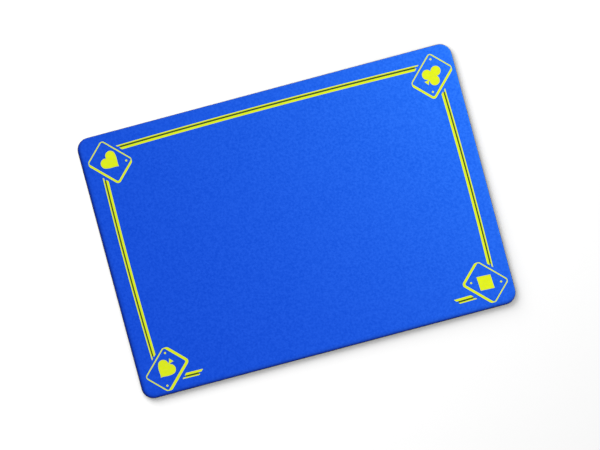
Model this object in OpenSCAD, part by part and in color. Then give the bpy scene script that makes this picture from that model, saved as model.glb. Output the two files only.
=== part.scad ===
// Flat play mat for handling cards, coins and cups at a table.
// Four bonded layers: a grip base, a sponge core, a bond film and a napped face cloth.
// The cloth carries a printed border and an ace card in each corner, in one ink.
// The origin is the middle of the underside. X runs along the mat, +Y points to the
// far edge, where the heart and club are, and Z points up.

/* [Mat] */
// Length of the mat, along X
mat_length = 400; // [320:1:480]
// Width of the mat, along Y
mat_width = 278; // [220:1:340]
// Radius of the mat's four corners
corner_radius = 12.5; // [6:0.5:20]

/* [Layers] */
// Thickness of the non-slip base
base_thickness = 1; // [0.6:0.1:2]
// Thickness of the sponge core
core_thickness = 3.6; // [2:0.1:8]
// Thickness of the film that bonds the cloth to the sponge
film_thickness = 0.1; // [0.05:0.01:0.3]
// Thickness of the face cloth, with its nap
cloth_thickness = 1; // [0.6:0.1:2]
// How far the cloth's cut edge stays inside the rubber's cut edge
cloth_setback = 0.5; // [0.2:0.1:1.5]
// Thickness of the ink, which is pressed level with the nap
ink_thickness = 0.25; // [0.1:0.05:0.5]

/* [Corner cards] */
// Distance from the mat's edges to the middle of a card
card_inset = 28.2; // [26:0.1:40]
// Width of a card
card_width = 29; // [26:0.5:35]
// Height of a card
card_height = 38; // [34:0.5:46]
// Outer radius of a card's corners
card_corner = 3.7; // [2:0.1:6]
// Radius of the corners of a card's window
window_corner = 1.8; // [0.5:0.1:4]
// Width of a card's thin sides
card_stroke = 1.2; // [0.8:0.1:3]
// Length of the drop shadow of the heart card
heart_shade = 1.4; // [0.5:0.1:3]
// Length of the drop shadow of the club card
club_shade = 1.6; // [0.5:0.1:3]
// Length of the drop shadow of the spade card
spade_shade = 2.3; // [0.5:0.1:3]
// Length of the drop shadow of the diamond card
diamond_shade = 1.9; // [0.5:0.1:3]
// Diameter of an index dot
dot_diameter = 2.1; // [1:0.1:3]
// Distance from a card's sides to the middle of an index dot
dot_inset = 5; // [3.5:0.1:6.5]
// The same distance on the diamond card
diamond_dot_inset = 6; // [3.5:0.1:6.5]

/* [Pips] */
// Width of the heart
heart_width = 19.8; // [16:0.1:22]
// Height of the heart, from the top of its lobes to its tip
heart_height = 18.5; // [15:0.1:22]
// Radius of the heart's lobes
heart_lobe = 5.2; // [4:0.1:5.4]
// Width of the spade
spade_width = 19.6; // [16:0.1:22]
// Height of the spade, from its tip to the foot of its stem
spade_height = 21.6; // [18:0.1:24]
// Radius of the spade's lobes
spade_lobe = 5.4; // [4:0.1:6]
// Radius of the club's lobes
club_lobe = 5.2; // [4:0.1:5.6]
// Distance from the club's centre to the middle of each lobe
club_spread = 5.7; // [4.5:0.1:6]
// Turn of the club on its card, in degrees
club_turn = -5; // [-8:1:8]
// Width of the foot of the spade's and club's stems
stem_foot = 5.8; // [4:0.1:8]
// Width of the narrowest part of the stems
stem_waist = 1.7; // [1:0.1:3]
// Width of the diamond
diamond_width = 19.6; // [14:0.1:22]
// Height of the diamond
diamond_height = 21.8; // [16:0.1:24]

/* [Border lines] */
// Width of the outer line
outer_line = 1.3; // [0.8:0.1:2.4]
// Width of the inner line
inner_line = 2.4; // [1:0.1:4]
// Distance between the middles of the two lines along X
long_pitch = 3.6; // [3.3:0.1:6]
// Distance between the middles of the two lines along Y
end_pitch = 3.4; // [3.2:0.1:6]
// Distance from the print area's long edges to the outer line
long_margin = 15; // [12:0.1:20]
// Distance from the print area's ends to the outer line
end_margin = 17.9; // [12:0.1:22]
// How far the middle of a line along X stands out past its ends
long_bow = 2; // [0.2:0.1:3]
// How far the middle of a line along Y stands out past its ends
end_bow = 1.6; // [0.2:0.1:3]
// Gap between a card and the lines that end at it
line_gap = 2.8; // [1:0.1:5]
// Gap between a card and the short lines at the front
stub_gap = 3.6; // [1:0.1:5]
// Reach of the short front lines past the middle of a card
stub_reach = 33; // [30:0.1:60]

/* [Print placement] */
// Shift of the whole print on the mat
print_shift = [0.8, -1.4]; // [-2:0.1:2]
// Drift of the heart card from its square place
heart_drift = [0.3, -0.3]; // [-2:0.1:2]
// Drift of the club card from its square place
club_drift = [1.4, -0.2]; // [-2:0.1:2]
// Drift of the spade card, and the short lines beside it, from their square place
spade_drift = [0.6, -1.1]; // [-2:0.1:2]
// Drift of the diamond card, and the short lines beside it, from their square place
diamond_drift = [0.2, 0.5]; // [-2:0.1:2]
// Place of the heart on its card: across, then up
heart_place = [0.7, -0.8]; // [-2:0.1:2]
// Place of the club on its card: across, then up
club_place = [0.5, 0.7]; // [-2:0.1:2]
// Place of the spade on its card: across, then up
spade_place = [0.4, 0.3]; // [-2:0.1:2]
// Place of the diamond on its card: across, then up
diamond_place = [0.5, -0.4]; // [-2:0.1:2]

/* [Hidden] */
$fn = 96;

// Heights of the layers' undersides, and of the top
core_bottom = base_thickness;
film_bottom = core_bottom + core_thickness;
cloth_bottom = film_bottom + film_thickness;
mat_top = cloth_bottom + cloth_thickness;
ink_bottom = mat_top - ink_thickness;

// Middle of a corner card, measured from the middle of the print
card_x = mat_length / 2 - card_inset;
card_y = mat_width / 2 - card_inset;

// Distance of the outer lines from the middle of the print, at the cards
long_line = mat_width / 2 - long_margin;
end_line = mat_length / 2 - end_margin;
// The two lines of the border
OUTER = 0;
INNER = 1;

// Fields of a corner card: the side of the mat it is on, the way its top points, the
// length of its drop shadow and the shadow's direction across the mat, its drift from
// its square place, its pip's place on it, and how far in its index dots are
SIDE = 0;
HEADING = 1;
SHADE = 2;
SHADE_WAY = 3;
DRIFT = 4;
PIP_PLACE = 5;
DOT_INSET = 6;
HEART = [[-1, 1], 135, heart_shade, -90, heart_drift, heart_place, dot_inset];
CLUB = [[1, 1], 45, club_shade, -90, club_drift, club_place, dot_inset];
SPADE = [[-1, -1], 225, spade_shade, 0, spade_drift, spade_place, dot_inset];
DIAMOND = [[1, -1], 315, diamond_shade, 180, diamond_drift, diamond_place,
    diamond_dot_inset];
CARDS = [HEART, CLUB, SPADE, DIAMOND];
// The two corners of a card that can carry an index dot
UPPER_DOT = [-1, 1];
LOWER_DOT = [1, -1];
BOTH_DOTS = [UPPER_DOT, LOWER_DOT];

curve_steps = 8;    // steps in each curved side of a pip
bow_steps = 24;     // steps along a bowed line

// Shaping of the pips: where a leaf's side leaves its lobe, in degrees, and the handles
// that steer its curves
heart_shoulder = 25;
spade_shoulder = 22;
lobe_bite = 0.1;            // how far inside its lobe a leaf's side starts
flank_reach = 6;
tip_handle = [1.5, -3.4];
waist_reach = 1.6;
foot_handle = [1.2, 1.4];
stem_flare = 4.4;           // height over which a stem spreads to its foot
spade_foot = 3.5;           // drop of the spade's foot below its lobes
heart_rise = 0.5;           // how far the heart and the spade sit below the middle
spade_rise = 0.7;
skin = 1;           // how far a pocket's cutter rises past the cloth

RUBBER = "#17181c";
SPONGE = "#202227";
FILM = "#31405e";
CLOTH = "#1a5be6";
INK = "#e2ef2a";

// Points of a cubic curve from a to d, steered by b and c
function curve(a, b, c, d) = [
    for (i = [0:curve_steps])
        let (t = i / curve_steps, s = 1 - t)
            pow(s, 3) * a + 3 * s * s * t * b + 3 * s * t * t * c + pow(t, 3) * d
];

// The same points on the other side of the Y axis, in the reverse order
function mirrored(points) = [
    for (i = [len(points) - 1:-1:0]) [-points[i][0], points[i][1]]
];

// The point at an angle on a circle
function on_circle(centre, radius, angle) = centre + radius * [cos(angle), sin(angle)];

// ---- Flat shapes ----

module rounded_rectangle(length, width, radius) {
    square([length - 2 * radius, width], center = true);
    square([length, width - 2 * radius], center = true);
    for (x = [-1, 1], y = [-1, 1])
        translate([x * (length / 2 - radius), y * (width / 2 - radius)]) circle(radius);
}

// A rounded rectangle swept along a short line: its face and its drop shadow together
module swept_rectangle(length, width, radius, sweep, direction) {
    rounded_rectangle(length, width, radius);
    translate(on_circle([0, 0], sweep, direction)) rounded_rectangle(length, width, radius);
    for (x = [-1, 1], y = [-1, 1])
        translate([x * (length / 2 - radius), y * (width / 2 - radius)])
            rotate(direction) translate([0, -radius]) square([sweep, 2 * radius]);
}

// A card with its drop shadow, larger by a gap all round
module card_shape(card, gap) {
    swept_rectangle(card_width + 2 * gap, card_height + 2 * gap, card_corner + gap,
        card[SHADE], card[SHADE_WAY] - card[HEADING] + 90);
}

module card_outline(card) {
    difference() {
        card_shape(card, 0);
        rounded_rectangle(card_width - 2 * card_stroke, card_height - 2 * card_stroke,
            window_corner);
    }
}

module dots_on(card, corners) {
    for (corner = corners)
        on_card(card)
            translate([corner[0] * (card_width / 2 - card[DOT_INSET]),
                    corner[1] * (card_height / 2 - card[DOT_INSET])])
                circle(d = dot_diameter);
}

// Two lobes side by side on the X axis and a body that runs up from them to a point
module lobed_leaf(width, lobe, tip_y, shoulder) {
    middle = [width / 2 - lobe, 0];
    start = on_circle(middle, lobe - lobe_bite, shoulder);
    tip = [0, tip_y];
    flank = curve(start, start + flank_reach * [-sin(shoulder), cos(shoulder)],
        tip + tip_handle, tip);
    for (x = [-1, 1]) translate(x * middle) circle(lobe);
    polygon(concat([middle], flank, mirrored(flank), [-middle]));
}

// A stem that narrows to a waist and spreads to a flat foot
module stem(top_y, waist_y, foot_y) {
    waist = [-stem_waist / 2, waist_y];
    foot = [-stem_foot / 2, foot_y];
    side = concat([[-stem_waist / 2, top_y]],
        curve(waist, waist - [0, waist_reach], foot + foot_handle, foot));
    polygon(concat(side, mirrored(side)));
}

module heart() {
    top = heart_height / 2 - heart_rise;
    translate([0, top - heart_lobe])
        rotate(180)
            lobed_leaf(heart_width, heart_lobe, heart_height - heart_lobe, heart_shoulder);
}

module spade() {
    top = spade_height / 2 - spade_rise;
    foot = top - spade_height;
    lobe_y = foot + spade_foot + spade_lobe;
    translate([0, lobe_y])
        lobed_leaf(spade_width, spade_lobe, top - lobe_y, spade_shoulder);
    stem(lobe_y, foot + stem_flare, foot);
}

module club() {
    lobes = [for (angle = [90, 210, 330]) on_circle([0, 0], club_spread, angle)];
    foot = -2 * club_lobe;
    rotate(club_turn) {
        for (lobe = lobes) translate(lobe) circle(club_lobe);
        polygon(lobes);
        stem(0, foot + stem_flare, foot);
    }
}

module diamond() {
    polygon([[0, diamond_height / 2], [-diamond_width / 2, 0],
        [0, -diamond_height / 2], [diamond_width / 2, 0]]);
}

// Draws its children upright on a corner card
module on_card(card) {
    translate([card[SIDE][0] * card_x, card[SIDE][1] * card_y] + card[DRIFT])
        rotate(card[HEADING] - 90) children();
}

module pip_on(card) {
    on_card(card) translate(card[PIP_PLACE]) children();
}

// The cards' shapes with a gap around them, where no line may run
module card_clearances(gap) {
    for (card = CARDS) on_card(card) card_shape(card, gap);
}

// A line along X at a distance in +Y, its middle bowed outward
module bowed_line(half_run, distance, width, bow) {
    stations = [for (i = [-bow_steps:2:bow_steps]) i / bow_steps];
    low = [for (s = stations) [s * half_run, distance - width / 2 + bow * (1 - s * s)]];
    high = [for (s = stations) [-s * half_run, distance + width / 2 + bow * (1 - s * s)]];
    polygon(concat(low, high));
}

function line_width(line) = line == OUTER ? outer_line : inner_line;

// A line along a long side of the mat, from card to card
module long_side(line) {
    bowed_line(card_x, long_line - line * long_pitch, line_width(line), long_bow);
}

// A line along an end of the mat, from card to card, drawn on the +Y side
module end_side(line) {
    bowed_line(card_y, end_line - line * end_pitch, line_width(line), end_bow);
}

module back_line(line) {
    difference() {
        long_side(line);
        card_clearances(line_gap);
    }
}

// The line at the left end (-1) or the right end (1)
module end_line_at(end, line) {
    difference() {
        rotate(-90 * end) end_side(line);
        card_clearances(line_gap);
    }
}

// A short line at the front, from a card to a free end that is cut on the slant. It
// keeps to its card, so it takes the card's drift.
module front_line(card, line) {
    end = card[SIDE][0];
    free_end = [end * (card_x - stub_reach), -long_line];
    slant = 3 * long_pitch;
    difference() {
        translate(card[DRIFT])
            intersection() {
                rotate(180) long_side(line);
                polygon([free_end + slant * [end, -1], free_end + slant * [-end, 1],
                    [end * card_x, free_end[1] + slant], [end * card_x, free_end[1] - slant]]);
            }
        card_clearances(stub_gap);
    }
}

// ---- Solids ----

module layer(bottom, thickness, setback) {
    translate([0, 0, bottom])
        linear_extrude(thickness)
            rounded_rectangle(mat_length - 2 * setback, mat_width - 2 * setback,
                corner_radius - setback);
}

// Raises a flat print to its place in the top of the cloth
module printed(thickness) {
    translate([print_shift[0], print_shift[1], ink_bottom])
        linear_extrude(thickness) children();
}

module ink() {
    color(INK) printed(ink_thickness) children();
}

// ---- The layers ----

module grip_base() {
    color(RUBBER) layer(0, base_thickness, 0);
}

module sponge_core() {
    color(SPONGE) layer(core_bottom, core_thickness, 0);
}

module bond_film() {
    color(FILM) layer(film_bottom, film_thickness, cloth_setback);
}

module face_cloth() {
    color(CLOTH) difference() {
        layer(cloth_bottom, cloth_thickness, cloth_setback);
        printed(ink_thickness + skin) card_prints();
        printed(ink_thickness + skin) line_prints();
    }
}

// Every card print together, as the pockets in the cloth
module card_prints() {
    for (card = CARDS) on_card(card) card_outline(card);
    pip_on(HEART) heart();
    pip_on(CLUB) club();
    pip_on(SPADE) spade();
    pip_on(DIAMOND) diamond();
    dots_on(HEART, [LOWER_DOT]);
    for (card = [CLUB, SPADE, DIAMOND]) dots_on(card, BOTH_DOTS);
}

// Every border line together, as the pockets in the cloth
module line_prints() {
    for (line = [OUTER, INNER]) {
        back_line(line);
        for (end = [-1, 1]) end_line_at(end, line);
        for (card = [SPADE, DIAMOND]) front_line(card, line);
    }
}

// ---- The corner cards ----

module heart_card() { ink() on_card(HEART) card_outline(HEART); }
module heart_pip() { ink() pip_on(HEART) heart(); }
module heart_dot() { ink() dots_on(HEART, [LOWER_DOT]); }

module club_card() { ink() on_card(CLUB) card_outline(CLUB); }
module club_pip() { ink() pip_on(CLUB) club(); }
module club_dots() { ink() dots_on(CLUB, BOTH_DOTS); }

module spade_card() { ink() on_card(SPADE) card_outline(SPADE); }
module spade_pip() { ink() pip_on(SPADE) spade(); }
module spade_dots() { ink() dots_on(SPADE, BOTH_DOTS); }

module diamond_card() { ink() on_card(DIAMOND) card_outline(DIAMOND); }
module diamond_pip() { ink() pip_on(DIAMOND) diamond(); }
module diamond_dots() { ink() dots_on(DIAMOND, BOTH_DOTS); }

// ---- The border lines ----

module back_outer_line() { ink() back_line(OUTER); }
module back_inner_line() { ink() back_line(INNER); }
module left_outer_line() { ink() end_line_at(-1, OUTER); }
module left_inner_line() { ink() end_line_at(-1, INNER); }
module right_outer_line() { ink() end_line_at(1, OUTER); }
module right_inner_line() { ink() end_line_at(1, INNER); }
module front_left_outer_line() { ink() front_line(SPADE, OUTER); }
module front_left_inner_line() { ink() front_line(SPADE, INNER); }
module front_right_outer_line() { ink() front_line(DIAMOND, OUTER); }
module front_right_inner_line() { ink() front_line(DIAMOND, INNER); }

grip_base();
sponge_core();
bond_film();
face_cloth();
heart_card();
heart_pip();
heart_dot();
club_card();
club_pip();
club_dots();
spade_card();
spade_pip();
spade_dots();
diamond_card();
diamond_pip();
diamond_dots();
back_outer_line();
back_inner_line();
left_outer_line();
left_inner_line();
right_outer_line();
right_inner_line();
front_left_outer_line();
front_left_inner_line();
front_right_outer_line();
front_right_inner_line();
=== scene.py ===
"""Looks of a flat close-up play mat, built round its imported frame.

The mat is a stack of a grip base, a sponge core, a bond film and a napped face cloth, with
a printed border and four corner cards. Every place comes from the frame, in metres.
"""

import logging
import math
from collections.abc import Callable, Iterable
from dataclasses import dataclass
from enum import Enum

import bmesh
import bpy
from mathutils import Matrix, Vector, noise
from mathutils.bvhtree import BVHTree


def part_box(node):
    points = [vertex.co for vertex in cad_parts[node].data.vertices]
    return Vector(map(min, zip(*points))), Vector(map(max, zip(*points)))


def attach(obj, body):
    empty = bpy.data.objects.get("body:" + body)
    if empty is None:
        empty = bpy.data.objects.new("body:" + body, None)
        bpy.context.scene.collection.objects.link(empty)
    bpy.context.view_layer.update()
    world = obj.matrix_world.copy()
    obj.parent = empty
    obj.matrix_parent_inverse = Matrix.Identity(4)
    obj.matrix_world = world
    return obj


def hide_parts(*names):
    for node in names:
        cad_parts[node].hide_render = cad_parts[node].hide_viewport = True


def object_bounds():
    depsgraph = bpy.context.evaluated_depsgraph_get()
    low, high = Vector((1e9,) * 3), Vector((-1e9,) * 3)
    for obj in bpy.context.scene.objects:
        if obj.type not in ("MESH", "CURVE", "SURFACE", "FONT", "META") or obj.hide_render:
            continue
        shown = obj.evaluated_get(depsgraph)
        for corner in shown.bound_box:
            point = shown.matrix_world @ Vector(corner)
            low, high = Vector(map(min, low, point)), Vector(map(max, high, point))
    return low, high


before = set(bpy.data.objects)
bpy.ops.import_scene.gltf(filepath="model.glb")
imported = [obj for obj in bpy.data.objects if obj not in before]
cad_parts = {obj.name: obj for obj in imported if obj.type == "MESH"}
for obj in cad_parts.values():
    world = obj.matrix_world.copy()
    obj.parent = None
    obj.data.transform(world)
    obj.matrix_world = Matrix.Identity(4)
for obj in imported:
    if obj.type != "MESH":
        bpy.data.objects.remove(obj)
CAD_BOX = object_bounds()

ROOT = "root"
MM = 0.001
# Attribute that darkens the cloth's rim: crushed nap all round, plus painted shade away from the
# light.
CRUSH_AND_SHADE = "crushed_and_shaded"
# Two heights nearer than this are the same height.
LEVEL = 1e-7
# Where most of a noise's values lie.
NOISE_BAND = (0.25, 0.75)

Colour = tuple[float, float, float]
Paint = tuple[float, float, float, float]
Socket = bpy.types.NodeSocket

log = logging.getLogger("play_mat")


class Suit(Enum):
    """The suit that a corner card shows."""

    HEART = "heart"
    CLUB = "club"
    SPADE = "spade"
    DIAMOND = "diamond"


class Slot(Enum):
    """The record's material slots."""

    CLOTH = "face_cloth"
    INK = "ink"
    FILM = "bond_film"
    SPONGE = "sponge_rubber"
    BASE = "base_rubber"


# ---- Shader building ----


class NodeBoard:
    """Places nodes in a tree and joins them in few words."""

    def __init__(self, tree: bpy.types.NodeTree) -> None:
        """Starts on a tree."""
        self.tree = tree

    def add(self, kind: str, **settings: object) -> bpy.types.Node:
        """Adds a node and sets its properties.

        Args:
            kind: The node's type name, without the ShaderNode prefix.
            **settings: Property values by name.

        Returns:
            The new node.
        """
        node = self.tree.nodes.new("ShaderNode" + kind)
        for name, value in settings.items():
            setattr(node, name, value)
        return node

    def feed(self, target: Socket, value: object) -> None:
        """Links a socket to the target, or sets a plain value on it.

        Args:
            target: The input socket.
            value: Another node's output socket, a number or a tuple.
        """
        if isinstance(value, Socket):
            self.tree.links.new(value, target)
        else:
            target.default_value = value

    def maths(self, operation: str, first: object, second: object) -> Socket:
        """Adds a Math node.

        Args:
            operation: The node's operation, such as MULTIPLY.
            first: A socket or a number.
            second: A socket or a number.

        Returns:
            The node's result.
        """
        node = self.add("Math", operation=operation)
        self.feed(node.inputs[0], first)
        self.feed(node.inputs[1], second)
        return node.outputs[0]

    def blend(self, share: object, low: object, high: object) -> Socket:
        """Mixes two colours.

        Args:
            share: How much of the second colour shows, from 0 to 1.
            low: The first colour, a socket or four numbers.
            high: The second colour, a socket or four numbers.

        Returns:
            The mixed colour.
        """
        node = self.add("Mix", data_type="RGBA")
        colours = [s for s in node.inputs if s.type == "RGBA"]
        self.feed(node.inputs[0], share)
        self.feed(colours[0], low)
        self.feed(colours[1], high)
        return next(s for s in node.outputs if s.type == "RGBA")

    def spread(self, value: object, low: float, high: float, floor: float = 0.0,
               top: float = 1.0) -> Socket:
        """Maps a range of a value smoothly onto another range.

        Args:
            value: The socket to read.
            low: The value that becomes floor.
            high: The value that becomes top.
            floor: The result at low and below.
            top: The result at high and above.

        Returns:
            The mapped value.
        """
        node = self.add("MapRange", interpolation_type="SMOOTHSTEP")
        limits = {"From Min": low, "From Max": high, "To Min": floor, "To Max": top}
        for name, number in limits.items():
            node.inputs[name].default_value = number
        self.feed(node.inputs["Value"], value)
        return node.outputs["Result"]

    def noise(self, vector: object, scale: object, detail: float = 2.0) -> Socket:
        """Adds a noise pattern.

        Args:
            vector: The place to read the pattern at.
            scale: Features per metre, a socket or a number.
            detail: Number of finer octaves.

        Returns:
            The noise, which is about 0.5 on average.
        """
        node = self.add("TexNoise")
        self.feed(node.inputs["Vector"], vector)
        self.feed(node.inputs["Scale"], scale)
        self.feed(node.inputs["Detail"], detail)
        return node.outputs["Fac"]

    def stretched(self, vector: object, factors: Colour, turn: float = 0.0) -> Socket:
        """Turns a place about Z and stretches it, so that a pattern runs one way.

        Args:
            vector: The place to change.
            factors: Scale along X, Y and Z.
            turn: Turn about Z in degrees.

        Returns:
            The changed place.
        """
        node = self.add("Mapping")
        node.inputs["Rotation"].default_value = (0.0, 0.0, math.radians(turn))
        node.inputs["Scale"].default_value = factors
        self.feed(node.inputs["Vector"], vector)
        return node.outputs["Vector"]


class Effect:
    """A shader effect kept as a node group, built on first use and shared afterwards."""

    title = "effect"
    inputs: dict[str, float] = {}
    outputs: tuple[str, ...] = ()

    @classmethod
    def tree(cls) -> bpy.types.NodeTree:
        """The group's node tree, made now if it isn't there yet.

        Returns:
            The node tree.
        """
        found = bpy.data.node_groups.get(cls.title)
        if found:
            return found
        made = bpy.data.node_groups.new(cls.title, "ShaderNodeTree")
        made.interface.new_socket("Vector", in_out="INPUT", socket_type="NodeSocketVector")
        for name, value in cls.inputs.items():
            socket = made.interface.new_socket(name, in_out="INPUT", socket_type="NodeSocketFloat")
            socket.default_value = value
        for name in cls.outputs:
            made.interface.new_socket(name, in_out="OUTPUT", socket_type="NodeSocketFloat")
        source = made.nodes.new("NodeGroupInput")
        sink = made.nodes.new("NodeGroupOutput")
        cls.wire(NodeBoard(made), source.outputs, sink.inputs)
        return made

    @classmethod
    def wire(cls, board: NodeBoard, given: object, wanted: object) -> None:
        """Builds the inside of the group.

        Args:
            board: Where the group's nodes go.
            given: The group's input sockets, by name.
            wanted: The group's output sockets, by name.
        """
        raise NotImplementedError

    @classmethod
    def place(cls, board: NodeBoard, vector: Socket, **values: float) -> object:
        """Puts the group in a material.

        Args:
            board: The material's nodes.
            vector: The place that the effect reads.
            **values: The group's input values, by name.

        Returns:
            The group node's outputs, by name.
        """
        node = board.add("Group", node_tree=cls.tree())
        board.feed(node.inputs["Vector"], vector)
        for name, value in values.items():
            node.inputs[name].default_value = value
        return node.outputs


class NapGrain(Effect):
    """Short brushed fibres: fine tufts, soft clumps and faint streaks along the pile."""

    title = "nap_grain"
    inputs = {"Tufts": 1500.0, "Clumps": 420.0, "Lie": 24.0}
    outputs = ("Tuft", "Clump", "Lie", "Height")
    tuft_stretch = (0.55, 1.0, 1.0)
    tuft_turn = 12.0
    tuft_detail = 3.0
    lie_stretch = (0.6, 1.0, 1.0)
    lie_band = (0.3, 0.7)
    clump_height = 0.6

    @classmethod
    def wire(cls, board: NodeBoard, given: object, wanted: object) -> None:
        """Layers three noises, the finest and the widest stretched along the pile.

        Args:
            board: Where the group's nodes go.
            given: The group's input sockets, by name.
            wanted: The group's output sockets, by name.
        """
        along = board.stretched(given["Vector"], cls.tuft_stretch, turn=cls.tuft_turn)
        tuft = board.noise(along, given["Tufts"], detail=cls.tuft_detail)
        clump = board.noise(given["Vector"], given["Clumps"])
        lie = board.noise(board.stretched(given["Vector"], cls.lie_stretch), given["Lie"])
        board.feed(wanted["Tuft"], board.spread(tuft, *NOISE_BAND))
        board.feed(wanted["Clump"], board.spread(clump, *NOISE_BAND))
        board.feed(wanted["Lie"], board.spread(lie, *cls.lie_band))
        raised = board.maths("MULTIPLY", clump, cls.clump_height)
        board.feed(wanted["Height"], board.maths("ADD", tuft, raised))


class CellPits(Effect):
    """Cut cells of a closed-cell sponge, with thin walls between them."""

    title = "cell_pits"
    inputs = {"Cells": 1700.0}
    outputs = ("Wall", "Height")
    wide_scale = 0.45
    wide_gain = 1.3

    @classmethod
    def wire(cls, board: NodeBoard, given: object, wanted: object) -> None:
        """Reads a cell pattern twice, at two sizes, so that no two pits are alike.

        Args:
            board: Where the group's nodes go.
            given: The group's input sockets, by name.
            wanted: The group's output sockets, by name.
        """
        pits = []
        for share in (1.0, cls.wide_scale):
            node = board.add("TexVoronoi", feature="F1")
            board.feed(node.inputs["Vector"], given["Vector"])
            board.feed(node.inputs["Scale"], board.maths("MULTIPLY", given["Cells"], share))
            pits.append(node.outputs["Distance"])
        deep = board.maths("MINIMUM", pits[0], board.maths("MULTIPLY", pits[1], cls.wide_gain))
        board.feed(wanted["Wall"], board.spread(deep, *NOISE_BAND))
        board.feed(wanted["Height"], deep)


class Dust(Effect):
    """Fine pale dust that settles in patches."""

    title = "dust"
    inputs = {"Patches": 60.0, "Grains": 2600.0, "Amount": 0.3}
    outputs = ("Mask",)
    patch_band = (0.4, 0.75)
    grain_band = (0.5, 0.8)

    @classmethod
    def wire(cls, board: NodeBoard, given: object, wanted: object) -> None:
        """Multiplies wide patches by fine grains.

        Args:
            board: Where the group's nodes go.
            given: The group's input sockets, by name.
            wanted: The group's output sockets, by name.
        """
        patch = board.spread(board.noise(given["Vector"], given["Patches"]), *cls.patch_band)
        grain = board.spread(board.noise(given["Vector"], given["Grains"]), *cls.grain_band)
        both = board.maths("MULTIPLY", patch, grain)
        board.feed(wanted["Mask"], board.maths("MULTIPLY", both, given["Amount"]))


def with_alpha(colour: Colour) -> Paint:
    """A colour as the four numbers that a colour socket takes."""
    return (*colour, 1.0)


def shaded(colour: Colour, factor: float) -> Paint:
    """A colour made lighter or darker, as the four numbers that a socket takes."""
    return with_alpha(tuple(channel * factor for channel in colour))


@dataclass(frozen=True)
class Finish:
    """What every finish has: a name, a colour, how rough it is and how deep its relief."""

    title: str
    colour: Colour
    roughness: float = 0.8
    specular: float = 0.3
    relief: float = 0.1 * MM
    bump: float = 0.5

    def material(self) -> bpy.types.Material:
        """The finish as a material, made now if it isn't there yet.

        Returns:
            The material.
        """
        found = bpy.data.materials.get(self.title)
        if found:
            return found
        made = bpy.data.materials.new(self.title)
        made.use_nodes = True
        made.diffuse_color = with_alpha(self.colour)
        board = NodeBoard(made.node_tree)
        shader = made.node_tree.nodes["Principled BSDF"]
        shader.inputs["Roughness"].default_value = self.roughness
        shader.inputs["Specular IOR Level"].default_value = self.specular
        self.dress(board, shader, board.add("TexCoord").outputs["Object"])
        return made

    def dress(self, board: NodeBoard, shader: bpy.types.Node, place: Socket) -> None:
        """Adds the finish's own pattern.

        Args:
            board: The material's nodes.
            shader: Its Principled BSDF.
            place: The point on the piece, in metres.
        """
        raise NotImplementedError

    def emboss(self, board: NodeBoard, shader: bpy.types.Node, height: Socket) -> None:
        """Gives the surface its relief.

        Args:
            board: The material's nodes.
            shader: Its Principled BSDF.
            height: The relief's height, from 0 to 1.
        """
        bump = board.add("Bump")
        bump.inputs["Strength"].default_value = self.bump
        bump.inputs["Distance"].default_value = self.relief
        board.feed(bump.inputs["Height"], height)
        board.feed(shader.inputs["Normal"], bump.outputs["Normal"])


@dataclass(frozen=True)
class NapFinish(Finish):
    """Dyed short-nap cloth, brushed along the mat."""

    sheen: float = 0.04
    sheen_roughness: float = 0.5
    contrast: Colour = (0.95, 0.22, 0.085)
    clumps: float = 400.0
    tuft_share: float = 0.35
    lie_share: float = 0.12
    # How far the rim darkens, and towards what colour: crushed nap and painted shade.
    crush_and_shade_dark: float = 0.6
    crush_and_shade_colour: Colour = (0.0, 0.0, 0.0)
    relief: float = 0.22 * MM
    bump: float = 0.55

    def tone(self, side: float) -> Paint:
        """The darkest (-1) or lightest (1) tone of the dye."""
        return with_alpha(tuple(c * (1 + side * k) for c, k in zip(self.colour, self.contrast)))

    def dress(self, board: NodeBoard, shader: bpy.types.Node, place: Socket) -> None:
        """Mottles the dye by tuft, clump and lie of the pile, and raises the fibres.

        Args:
            board: The material's nodes.
            shader: Its Principled BSDF.
            place: The point on the piece, in metres.
        """
        grain = NapGrain.place(board, place, Clumps=self.clumps)
        mottle = board.maths("ADD", board.maths("MULTIPLY", grain["Tuft"], self.tuft_share),
                             board.maths("MULTIPLY", grain["Clump"], 1.0 - self.tuft_share))
        dyed = board.blend(mottle, self.tone(-1.0), self.tone(1.0))
        lying = board.maths("MULTIPLY", grain["Lie"], self.lie_share)
        brushed = board.blend(lying, dyed, self.tone(1.0))
        # Painted shade: the rim darkens towards black, for crushed nap and for shade away from the
        # light.
        crushed_and_shaded = board.add("Attribute", attribute_name=CRUSH_AND_SHADE).outputs["Fac"]
        dark = board.maths("MULTIPLY", crushed_and_shaded, self.crush_and_shade_dark)
        board.feed(shader.inputs["Base Color"],
                   board.blend(dark, brushed, with_alpha(self.crush_and_shade_colour)))
        shader.inputs["Sheen Weight"].default_value = self.sheen
        shader.inputs["Sheen Roughness"].default_value = self.sheen_roughness
        self.emboss(board, shader, grain["Height"])


@dataclass(frozen=True)
class InkFinish(Finish):
    """Printed ink that has matted the nap, with a little dye showing through."""

    dye: Colour = (0.02, 0.1, 0.3)
    show_through: float = 0.25
    worn_band: tuple[float, float] = (0.72, 1.0)
    tones: tuple[float, float] = (0.96, 1.03)
    gloss_band: tuple[float, float] = (0.2, 0.9)
    gloss_swing: float = 0.1
    relief: float = 0.12 * MM
    bump: float = 0.4

    def dress(self, board: NodeBoard, shader: bpy.types.Node, place: Socket) -> None:
        """Keeps the nap's grain under the ink and thins the ink on the highest tufts.

        Args:
            board: The material's nodes.
            shader: Its Principled BSDF.
            place: The point on the piece, in metres.
        """
        grain = NapGrain.place(board, place)
        worn = board.spread(grain["Tuft"], *self.worn_band)
        thin = board.maths("MULTIPLY", worn, self.show_through)
        low, high = (shaded(self.colour, tone) for tone in self.tones)
        body = board.blend(grain["Clump"], low, high)
        board.feed(shader.inputs["Base Color"], board.blend(thin, body, with_alpha(self.dye)))
        board.feed(shader.inputs["Roughness"],
                   board.spread(grain["Tuft"], *self.gloss_band,
                                floor=self.roughness - self.gloss_swing, top=self.roughness))
        self.emboss(board, shader, grain["Height"])


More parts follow.
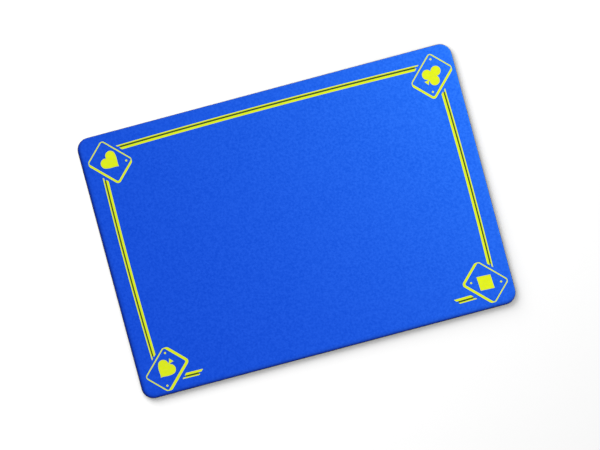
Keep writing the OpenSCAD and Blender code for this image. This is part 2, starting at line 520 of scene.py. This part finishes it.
@dataclass(frozen=True)
class SpongeFinish(Finish):
    """The cut edge of black sponge rubber."""

    wall_colour: Colour = (0.05, 0.052, 0.058)
    dust_colour: Colour = (0.16, 0.16, 0.17)
    dust: float = 0.35
    relief: float = 0.25 * MM
    bump: float = 0.8

    def dress(self, board: NodeBoard, shader: bpy.types.Node, place: Socket) -> None:
        """Darkens the pits as painted shade, lightens the cell walls and adds dust.

        Args:
            board: The material's nodes.
            shader: Its Principled BSDF.
            place: The point on the piece, in metres.
        """
        cells = CellPits.place(board, place)
        dust = Dust.place(board, place, Amount=self.dust)
        # Painted shade: the pits are darker than the cell walls between them.
        cut = board.blend(cells["Wall"], with_alpha(self.colour), with_alpha(self.wall_colour))
        board.feed(shader.inputs["Base Color"],
                   board.blend(dust["Mask"], cut, with_alpha(self.dust_colour)))
        self.emboss(board, shader, cells["Height"])


@dataclass(frozen=True)
class RubberFinish(Finish):
    """Dense moulded rubber with a satin skin."""

    dust_colour: Colour = (0.12, 0.12, 0.12)
    dust: float = 0.25
    grain: float = 900.0
    grain_detail: float = 4.0
    patches: float = 35.0
    tones: tuple[float, float] = (0.8, 1.3)
    gloss_band: tuple[float, float] = (0.3, 0.7)
    glossier: float = 0.08
    duller: float = 0.1
    relief: float = 0.05 * MM

    def dress(self, board: NodeBoard, shader: bpy.types.Node, place: Socket) -> None:
        """Varies the gloss of the skin, gives it a fine grain and dusts it.

        Args:
            board: The material's nodes.
            shader: Its Principled BSDF.
            place: The point on the piece, in metres.
        """
        skin = board.noise(place, self.grain, detail=self.grain_detail)
        dust = Dust.place(board, place, Amount=self.dust)
        low, high = (shaded(self.colour, tone) for tone in self.tones)
        body = board.blend(board.noise(place, self.patches), low, high)
        board.feed(shader.inputs["Base Color"],
                   board.blend(dust["Mask"], body, with_alpha(self.dust_colour)))
        board.feed(shader.inputs["Roughness"],
                   board.spread(skin, *self.gloss_band, floor=self.roughness - self.glossier,
                                top=self.roughness + self.duller))
        self.emboss(board, shader, skin)


@dataclass(frozen=True)
class FilmFinish(Finish):
    """A thin dried film of adhesive."""

    beads: float = 700.0
    bead_detail: float = 3.0
    tones: tuple[float, float] = (0.6, 1.5)
    relief: float = 0.03 * MM

    def dress(self, board: NodeBoard, shader: bpy.types.Node, place: Socket) -> None:
        """Gives the film beads and thinner stretches.

        Args:
            board: The material's nodes.
            shader: Its Principled BSDF.
            place: The point on the piece, in metres.
        """
        beads = board.noise(place, self.beads, detail=self.bead_detail)
        low, high = (shaded(self.colour, tone) for tone in self.tones)
        board.feed(shader.inputs["Base Color"], board.blend(beads, low, high))
        self.emboss(board, shader, beads)


@dataclass(frozen=True)
class PaperFinish(Finish):
    """Plain pale paper under the mat."""

    tooth: float = 1200.0
    tones: tuple[float, float] = (0.99, 1.0)
    relief: float = 0.02 * MM
    bump: float = 0.2

    def dress(self, board: NodeBoard, shader: bpy.types.Node, place: Socket) -> None:
        """Gives the paper a barely visible tooth.

        Args:
            board: The material's nodes.
            shader: Its Principled BSDF.
            place: The point on the piece, in metres.
        """
        tooth = board.noise(place, self.tooth)
        low, high = (shaded(self.colour, tone) for tone in self.tones)
        board.feed(shader.inputs["Base Color"], board.blend(tooth, low, high))
        self.emboss(board, shader, tooth)


NAP = NapFinish("napped_cloth", (0.0032, 0.0595, 0.86), roughness=0.95, specular=0.05)
INK = InkFinish("printed_ink", (0.84, 0.97, 0.010), roughness=0.8, specular=0.1)
SOAK = InkFinish("soaked_nap", (0.065, 0.105, 0.006), roughness=0.9, specular=0.05)
SPONGE = SpongeFinish("cut_sponge", (0.005, 0.005, 0.006), roughness=0.9, specular=0.2)
RUBBER = RubberFinish("moulded_rubber", (0.012, 0.012, 0.014), roughness=0.6, specular=0.35)
FILM = FilmFinish("adhesive_film", (0.02, 0.04, 0.09), roughness=0.5, specular=0.4)
PAPER = PaperFinish("pale_paper", (0.97, 0.97, 0.97), roughness=0.95, specular=0.05)


# ---- Shapes ----


@dataclass(frozen=True)
class MatOutline:
    """A rounded rectangle round the frame's Z axis, which a layer of the mat follows."""

    length: float
    width: float
    radius: float

    @classmethod
    def of_node(cls, node: str, radius: float) -> "MatOutline":
        """The outline of a CAD layer.

        Args:
            node: The layer's node.
            radius: Radius of its corners.

        Returns:
            The outline.
        """
        low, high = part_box(node)
        return cls(high.x - low.x, high.y - low.y, radius)

    def core(self, point: Vector) -> Vector:
        """Finds the nearest point of the rectangle that joins the corners' centres.

        Args:
            point: Any point.

        Returns:
            The nearest point, at height 0.
        """
        reach_x = self.length / 2 - self.radius
        reach_y = self.width / 2 - self.radius
        return Vector((max(-reach_x, min(reach_x, point.x)),
                       max(-reach_y, min(reach_y, point.y)), 0.0))

    def depth(self, point: Vector) -> float:
        """How far a point is inside the outline, up to the corners' radius."""
        return self.radius - (Vector((point.x, point.y, 0.0)) - self.core(point)).length

    def rim(self, point: Vector, outset: float, height: float) -> Vector:
        """Carries a point to the outline and straight out of it.

        Args:
            point: A point near the outline.
            outset: How far outside the outline it goes, or inside if negative.
            height: Its height.

        Returns:
            The place on the rim.
        """
        core = self.core(point)
        away = (Vector((point.x, point.y, 0.0)) - core).normalized()
        return core + away * (self.radius + outset) + Vector((0.0, 0.0, height))

    def plate(self, height: float, arc_steps: int, pitch: float) -> bmesh.types.BMesh:
        """The outline as one level face.

        Args:
            height: Height of the face.
            arc_steps: Steps round each corner.
            pitch: Length of the edges along the straight sides.

        Returns:
            A mesh with that one face.
        """
        mesh = bmesh.new()
        bmesh.ops.create_grid(mesh, x_segments=1, y_segments=1, size=0.5)
        bmesh.ops.scale(mesh, vec=(self.length, self.width, 1.0), verts=mesh.verts[:])
        bmesh.ops.translate(mesh, vec=(0.0, 0.0, height), verts=mesh.verts[:])
        bmesh.ops.bevel(mesh, geom=mesh.verts[:], offset=self.radius, offset_type="OFFSET",
                        segments=arc_steps, profile=0.5, affect="VERTICES", material=-1)
        straight = [edge for edge in mesh.edges if edge.calc_length() > 2 * self.radius]
        for edge in straight:
            bmesh.ops.subdivide_edges(mesh, edges=[edge], cuts=int(edge.calc_length() / pitch))
        return mesh

    def stack(self, mesh: bmesh.types.BMesh, profile: Iterable[tuple[float, float]],
              wander: Callable[[Vector], float]) -> None:
        """Extrudes a plate up through a profile, which makes it a closed solid.

        Args:
            mesh: The plate, at its lowest height.
            profile: Each step up: how far outside the outline it is, and its height.
            wander: Moves a point of the rim in or out, as an irregular cut does.
        """
        underside = mesh.faces[:][0]
        top = underside
        for outset, height in profile:
            made = bmesh.ops.extrude_face_region(mesh, geom=[top])["geom"]
            if top is not underside:
                bmesh.ops.delete(mesh, geom=[top], context="FACES_ONLY")
            top = next(item for item in made if isinstance(item, bmesh.types.BMFace))
            for vertex in top.verts:
                place = self.rim(vertex.co, outset, height)
                vertex.co = self.rim(vertex.co, outset + wander(place), height)
        bmesh.ops.recalc_face_normals(mesh, faces=mesh.faces[:])


def add_mesh(mesh: bmesh.types.BMesh, extra: bmesh.types.BMesh) -> None:
    """Adds a second mesh to a first.

    Args:
        mesh: The mesh that grows.
        extra: The mesh that is added, which is freed.
    """
    carrier = bpy.data.meshes.new("carrier")
    extra.to_mesh(carrier)
    extra.free()
    mesh.from_mesh(carrier)
    bpy.data.meshes.remove(carrier)


def as_piece(mesh: bmesh.types.BMesh, title: str, finish: Finish,
             crease: float = 40.0) -> bpy.types.Object:
    """Turns a finished mesh into an object at the origin.

    Args:
        mesh: The mesh, which is freed.
        title: The piece's name.
        finish: Its finish.
        crease: Edges that turn by more than this many degrees stay sharp.

    Returns:
        The object.
    """
    data = bpy.data.meshes.new(title)
    mesh.to_mesh(data)
    mesh.free()
    data.shade_smooth()
    data.set_sharp_from_angle(angle=math.radians(crease))
    data.materials.append(finish.material())
    piece = bpy.data.objects.new(title, data)
    bpy.context.scene.collection.objects.link(piece)
    return piece


def stand_for(piece: bpy.types.Object, node: str) -> bpy.types.Object:
    """Fixes a new piece to the mat in place of a CAD node.

    Args:
        piece: The new piece.
        node: The CAD node that it stands for.

    Returns:
        The piece.
    """
    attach(piece, ROOT)
    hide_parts(node)
    return piece


def refinish(node: str, finish: Finish) -> bpy.types.Object:
    """Gives a CAD node its finish.

    Args:
        node: The node's name.
        finish: The finish.

    Returns:
        The node's object.
    """
    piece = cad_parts[node]
    piece.data.materials.clear()
    piece.data.materials.append(finish.material())
    return piece


# ---- The mat ----


@dataclass(frozen=True)
class GripBase:
    """The dense rubber base, with low round studs all over its underside."""

    corner_radius: float = 12.5 * MM
    stud_height: float = 0.25 * MM
    stud_foot: float = 2.9 * MM
    stud_face: float = 2.3 * MM
    stud_pitch: float = 5.0 * MM
    stud_sides: int = 10
    stud_root: float = 0.05 * MM
    plain_border: float = 4.0 * MM
    edge_round: float = 0.12 * MM
    arc_steps: int = 24
    pitch: float = 6.0 * MM

    def build(self) -> list[bpy.types.Object]:
        """Makes the base.

        Returns:
            The one piece.
        """
        low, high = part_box("grip_base")
        outline = MatOutline.of_node("grip_base", self.corner_radius)
        skin = low.z + self.stud_height
        mesh = outline.plate(skin, self.arc_steps, self.pitch)
        outline.stack(mesh, ((0.0, skin + self.edge_round), (0.0, high.z)), lambda place: 0.0)
        for vertex in mesh.verts:
            if abs(vertex.co.z - skin) < LEVEL:
                vertex.co = outline.rim(vertex.co, -self.edge_round, skin)
        self.add_studs(mesh, outline, low.z)
        piece = as_piece(mesh, "grip_base_studded", RUBBER)
        return [stand_for(piece, "grip_base")]

    def add_studs(self, mesh: bmesh.types.BMesh, outline: MatOutline, ground: float) -> None:
        """Sets the studs in staggered rows, inside a plain border.

        Args:
            mesh: The base.
            outline: Its outline.
            ground: Height of the studs' faces.
        """
        row_pitch = self.stud_pitch * math.sin(math.radians(60))
        depth = self.stud_height + self.stud_root
        rows = int(outline.width / 2 / row_pitch)
        columns = int(outline.length / 2 / self.stud_pitch) + 1
        for row in range(-rows, rows + 1):
            stagger = row % 2 / 2
            strip = bmesh.new()
            for column in range(-columns, columns + 1):
                place = Vector(((column + stagger) * self.stud_pitch, row * row_pitch,
                                ground + depth / 2))
                if outline.depth(place) >= self.plain_border + self.stud_foot / 2:
                    bmesh.ops.create_cone(strip, cap_ends=True, segments=self.stud_sides,
                                          radius1=self.stud_face / 2, radius2=self.stud_foot / 2,
                                          depth=depth, matrix=Matrix.Translation(place))
            add_mesh(mesh, strip)


@dataclass(frozen=True)
class SpongeCore:
    """The sponge core, whose cut edge is slightly hollow and pitted with open cells."""

    corner_radius: float = 12.5 * MM
    waist: float = 0.22 * MM
    pit_depth: float = 0.12 * MM
    pit_size: float = 0.9 * MM
    pit_bias: float = 0.3
    rows: int = 8
    arc_steps: int = 32
    pitch: float = 0.6 * MM

    def build(self) -> list[bpy.types.Object]:
        """Makes the core.

        Returns:
            The one piece.
        """
        low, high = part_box("sponge_core")
        outline = MatOutline.of_node("sponge_core", self.corner_radius)
        mesh = outline.plate(low.z, self.arc_steps, self.pitch)
        shares = [(row + 1) / self.rows for row in range(self.rows)]
        profile = [(-self.waist * math.sin(math.pi * share), low.z + share * (high.z - low.z))
                   for share in shares]
        outline.stack(mesh, profile, self.pit)
        piece = as_piece(mesh, "sponge_core_foam", SPONGE, crease=60.0)
        stand_for(piece, "sponge_core")
        return [piece]

    def pit(self, place: Vector) -> float:
        """How far a point of the cut edge lies in a cell, as a move inwards."""
        return -self.pit_depth * max(0.0, noise.noise(place / self.pit_size) + self.pit_bias)


@dataclass(frozen=True)
class FaceCloth:
    """The napped cloth, whose cut edge is pressed down and rolls over to the film."""

    corner_radius: float = 12.0 * MM
    roll_width: float = 2.6 * MM
    roll_drop: float = 0.5 * MM
    roll_steps: int = 7
    print_sink: float = 0.04 * MM
    fray: float = 0.07 * MM
    fray_size: float = 1.6 * MM
    spill: float = 0.12 * MM
    # Rim darkening: crushed nap all round, plus painted shade on edges away from the light.
    crush_and_shade_width: float = 3.2 * MM
    crush_and_shade_middle: float = 0.55
    shade_swing: float = 0.8
    crush_least: float = 0.15
    # Azimuth of the light in degrees: edges that face it get the least painted shade.
    light_azimuth: float = 58.0
    arc_steps: int = 24
    pitch: float = 1.5 * MM

    def build(self) -> list[bpy.types.Object]:
        """Makes the cloth.

        Returns:
            The one piece.
        """
        low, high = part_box("face_cloth")
        outline = MatOutline.of_node("face_cloth", self.corner_radius)
        mesh = outline.plate(low.z, self.arc_steps, self.pitch)
        outline.stack(mesh, self.profile(low.z, high.z - self.print_sink), self.wander)
        # Painted shade per vertex: crushed nap plus shade on the side away from the light.
        crushed_and_shaded = mesh.verts.layers.float.new(CRUSH_AND_SHADE)
        for vertex in mesh.verts:
            vertex[crushed_and_shaded] = self.crush_and_shade(outline, vertex.co)
        piece = as_piece(mesh, "face_cloth_nap", NAP, crease=75.0)
        stand_for(piece, "face_cloth")
        return [piece]

    def profile(self, bottom: float, top: float) -> list[tuple[float, float]]:
        """The cut edge from the film up and over to the level face.

        Args:
            bottom: Height of the cloth's underside.
            top: Height of its level face.

        Returns:
            Each step's distance outside the outline, and its height.
        """
        shoulder = top - self.roll_drop
        steps = [(self.spill, (bottom + shoulder) / 2)]
        for step in range(self.roll_steps + 1):
            angle = math.radians(90) * step / self.roll_steps
            steps.append((self.spill * math.cos(angle) - self.roll_width * (1 - math.cos(angle)),
                          shoulder + self.roll_drop * math.sin(angle)))
        steps.append((-2 * self.roll_width, top))
        return steps

    def crush_and_shade(self, outline: MatOutline, point: Vector) -> float:
        """Rim darkness at a point: crushed nap, and painted shade most on edges away from the
        light.

        Args:
            outline: The cloth's outline.
            point: A point of the cloth.

        Returns:
            0 where the nap stands unshaded, and 1 where it is flattened and in painted shade.
        """
        core = outline.core(point)
        outward = (Vector((point.x, point.y, 0.0)) - core).normalized()
        # Painted shade: edges that face away from the light get darker.
        facing_shade = self.crush_and_shade_middle - self.shade_swing * outward.dot(towards(self.light_azimuth, 0.0))
        nearness = 1.0 - max(0.0, outline.depth(point)) / self.crush_and_shade_width
        return max(0.0, nearness) * max(self.crush_least, min(1.0, facing_shade))

    def wander(self, place: Vector) -> float:
        """How far the cut wanders at a point."""
        return self.fray * noise.noise(place / self.fray_size)


@dataclass(frozen=True)
class BondFilm:
    """The adhesive film between cloth and sponge."""

    def build(self) -> list[bpy.types.Object]:
        """Dresses the CAD film."""
        return [refinish("bond_film", FILM)]


@dataclass(frozen=True)
class CornerCard:
    """A printed card with its drop shadow, its pip and its index dots."""

    suit: Suit

    def build(self) -> list[bpy.types.Object]:
        """Dresses the card's prints.

        Returns:
            The outline, the pip and the dots.
        """
        nodes = [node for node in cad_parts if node.startswith(self.suit.value + "_")]
        return [refinish(node, INK) for node in sorted(nodes)]


@dataclass(frozen=True)
class Border:
    """The printed double line round the mat, with soaked nap between its two lines."""

    soak_step: float = 2.0 * MM
    soak_rise: float = 0.02 * MM
    soak_depth: float = 0.03 * MM
    soak_gap: float = 0.05 * MM

    def build(self) -> list[bpy.types.Object]:
        """Dresses the border's prints and adds the soaked nap between each pair of lines.

        Returns:
            Every line of the border, and the soaked strips.
        """
        lines = sorted(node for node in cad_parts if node.endswith("_line"))
        pieces = [refinish(node, INK) for node in lines]
        for outer in (node for node in lines if node.endswith("_outer_line")):
            pieces.append(self.soak(outer, outer.replace("_outer_", "_inner_")))
        return pieces

    def soak(self, outer: str, inner: str) -> bpy.types.Object:
        """Fills the gap between two lines, where the ink has crept thinly into the nap.

        Args:
            outer: The outer line's node.
            inner: The inner line's node.

        Returns:
            The soaked strip.
        """
        mesh = bmesh.new()
        rungs = [[mesh.verts.new(end) for end in ends] for ends in self.gaps(outer, inner)]
        faces = [mesh.faces.new((*first, *reversed(second)))
                 for first, second in zip(rungs, rungs[1:])]
        made = bmesh.ops.extrude_face_region(mesh, geom=faces, use_keep_orig=True)["geom"]
        raised = [item for item in made if isinstance(item, bmesh.types.BMVert)]
        bmesh.ops.translate(mesh, vec=(0.0, 0.0, self.soak_depth), verts=raised)
        bmesh.ops.recalc_face_normals(mesh, faces=mesh.faces[:])
        piece = as_piece(mesh, outer.replace("_outer_line", "_soak"), SOAK)
        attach(piece, ROOT)
        return piece

    def gaps(self, outer: str, inner: str) -> list[tuple[Vector, Vector]]:
        """Steps along two lines and finds both sides of the gap between them.

        Args:
            outer: The outer line's node.
            inner: The inner line's node.

        Returns:
            The two sides at each step, at the height of the strip's underside.
        """
        low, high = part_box(outer)
        along = 0 if high.x - low.x > high.y - low.y else 1
        middle = (low + high) / 2
        outward = Vector((0.0, 0.0, 0.0))
        outward[1 - along] = math.copysign(1.0, middle[1 - along])
        outer_tree, inner_tree = self.tree(outer), self.tree(inner)
        bottom = high.z - self.soak_depth - FaceCloth.print_sink + self.soak_rise
        found = []
        for step in range(int((high[along] - low[along]) / self.soak_step) + 1):
            start = middle.copy()
            start[along] = low[along] + step * self.soak_step
            start[1 - along] = 0.0
            near, *_ = outer_tree.ray_cast(start, outward)
            far, *_ = inner_tree.ray_cast(start + outward, -outward)
            if near and far:
                ends = (near - outward * self.soak_gap, far + outward * self.soak_gap)
                found.append(tuple(Vector((end.x, end.y, bottom)) for end in ends))
        return found

    def tree(self, node: str) -> BVHTree:
        """A CAD node's mesh, ready to be struck by rays."""
        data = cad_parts[node].data
        return BVHTree.FromPolygons([vertex.co for vertex in data.vertices],
                                    [polygon.vertices for polygon in data.polygons])


# ---- The studio ----


def towards(azimuth: float, elevation: float) -> Vector:
    """The direction at an azimuth from +X and an elevation above the floor, in degrees."""
    turn, rise = math.radians(azimuth), math.radians(elevation)
    return Vector((math.cos(turn) * math.cos(rise), math.sin(turn) * math.cos(rise),
                   math.sin(rise)))


@dataclass(frozen=True)
class SoftBox:
    """A square soft light aimed at the mat."""

    title: str
    azimuth: float
    elevation: float
    distance: float
    side: float
    power: float
    colour: Colour = (1.0, 1.0, 1.0)

    def build(self, aim: Vector, lit: Iterable[bpy.types.Object]) -> None:
        """Hangs the light.

        Args:
            aim: The point that it faces.
            lit: The objects that catch its light.
        """
        data = bpy.data.lights.new(self.title, "AREA")
        data.shape = "SQUARE"
        data.size = self.side
        data.energy = self.power
        data.color = self.colour
        light = bpy.data.objects.new(self.title, data)
        way = towards(self.azimuth, self.elevation)
        light.location = aim + way * self.distance
        light.rotation_euler = way.to_track_quat("Z", "Y").to_euler()
        light.visible_camera = False
        bpy.context.scene.collection.objects.link(light)
        receivers = bpy.data.collections.new(self.title + "_receivers")
        for piece in lit:
            receivers.objects.link(piece)
        light.light_linking.receiver_collection = receivers


@dataclass(frozen=True)
class Studio:
    """A pale floor, soft light and a camera above the mat."""

    floor_side: float = 16.0
    ambient: float = 0.66
    view_width: float = 0.6198
    view_turn: float = 15.09
    view_centre: tuple[float, float] = (2.2 * MM, -4.85 * MM)
    lean_left: float = 3.7
    lean_front: float = 1.9
    view_distance: float = 2.0
    key: SoftBox = SoftBox("key_light", azimuth=118.0, elevation=33.0, distance=1.5, side=1.4,
                           power=27.0)
    side_glow: SoftBox = SoftBox("side_glow", azimuth=25.0, elevation=20.0, distance=0.8,
                                 side=0.4, power=29.0, colour=(1.0, 0.71, 0.165))
    print_light: SoftBox = SoftBox("print_light", azimuth=25.0, elevation=33.0, distance=2.0,
                                   side=1.4, power=21.0)

    def build(self, cloth: bpy.types.Object) -> None:
        """Makes the whole studio.

        Args:
            cloth: The face cloth. It alone catches the side glow, the prints alone catch
                the print light, and all else catches the key light.
        """
        low, high = CAD_BOX
        top = Vector(((low.x + high.x) / 2, (low.y + high.y) / 2, high.z))
        self.lay_floor(low.z)
        self.light_room()
        shown = [piece for piece in bpy.context.scene.objects if piece.type == "MESH"]
        inks = {INK.title, SOAK.title}
        prints = [piece for piece in shown if inks.intersection(piece.data.materials.keys())]
        self.key.build(top, [piece for piece in shown if piece != cloth and piece not in prints])
        self.side_glow.build(top, [cloth])
        self.print_light.build(top, prints)
        self.place_camera(top)
        bpy.context.scene.view_settings.view_transform = "Standard"

    def lay_floor(self, height: float) -> None:
        """Lays the floor.

        Args:
            height: Its height.
        """
        mesh = bmesh.new()
        bmesh.ops.create_grid(mesh, x_segments=1, y_segments=1, size=self.floor_side / 2)
        bmesh.ops.translate(mesh, vec=(0.0, 0.0, height), verts=mesh.verts[:])
        as_piece(mesh, "floor", PAPER)

    def light_room(self) -> None:
        """Fills the room with even white light."""
        world = bpy.data.worlds.new("room")
        world.use_nodes = True
        background = world.node_tree.nodes["Background"]
        background.inputs["Color"].default_value = (1.0, 1.0, 1.0, 1.0)
        background.inputs["Strength"].default_value = self.ambient
        bpy.context.scene.world = world

    def place_camera(self, top: Vector) -> None:
        """Hangs the camera almost straight above the mat.

        Args:
            top: Middle of the mat's upper face.
        """
        data = bpy.data.cameras.new("camera")
        data.type = "ORTHO"
        data.ortho_scale = self.view_width
        camera = bpy.data.objects.new("camera", data)
        back = Vector((-math.tan(math.radians(self.lean_left)),
                       -math.tan(math.radians(self.lean_front)), 1.0)).normalized()
        turn = math.radians(self.view_turn)
        up = Vector((math.sin(turn), math.cos(turn), 0.0))
        up = (up - up.dot(back) * back).normalized()
        across = up.cross(back)
        target = top + Vector((*self.view_centre, 0.0))
        camera.matrix_world = Matrix.Translation(target + back * self.view_distance) @ Matrix(
            (across, up, back)).transposed().to_4x4()
        bpy.context.scene.collection.objects.link(camera)
        bpy.context.scene.camera = camera


def main() -> None:
    """Builds the mat from the bottom up, then the studio round it."""
    logging.basicConfig(level=logging.INFO, format="%(name)s: %(message)s")
    assemblies = [GripBase(), SpongeCore(), BondFilm(), FaceCloth(), Border()]
    assemblies += [CornerCard(suit) for suit in Suit]
    for assembly in assemblies:
        for piece in assembly.build():
            log.info("%s: %s, %d faces", type(assembly).__name__, piece.name,
                     len(piece.data.polygons))
    Studio().build(bpy.data.objects["face_cloth_nap"])


if __name__ == "__main__":
    main()
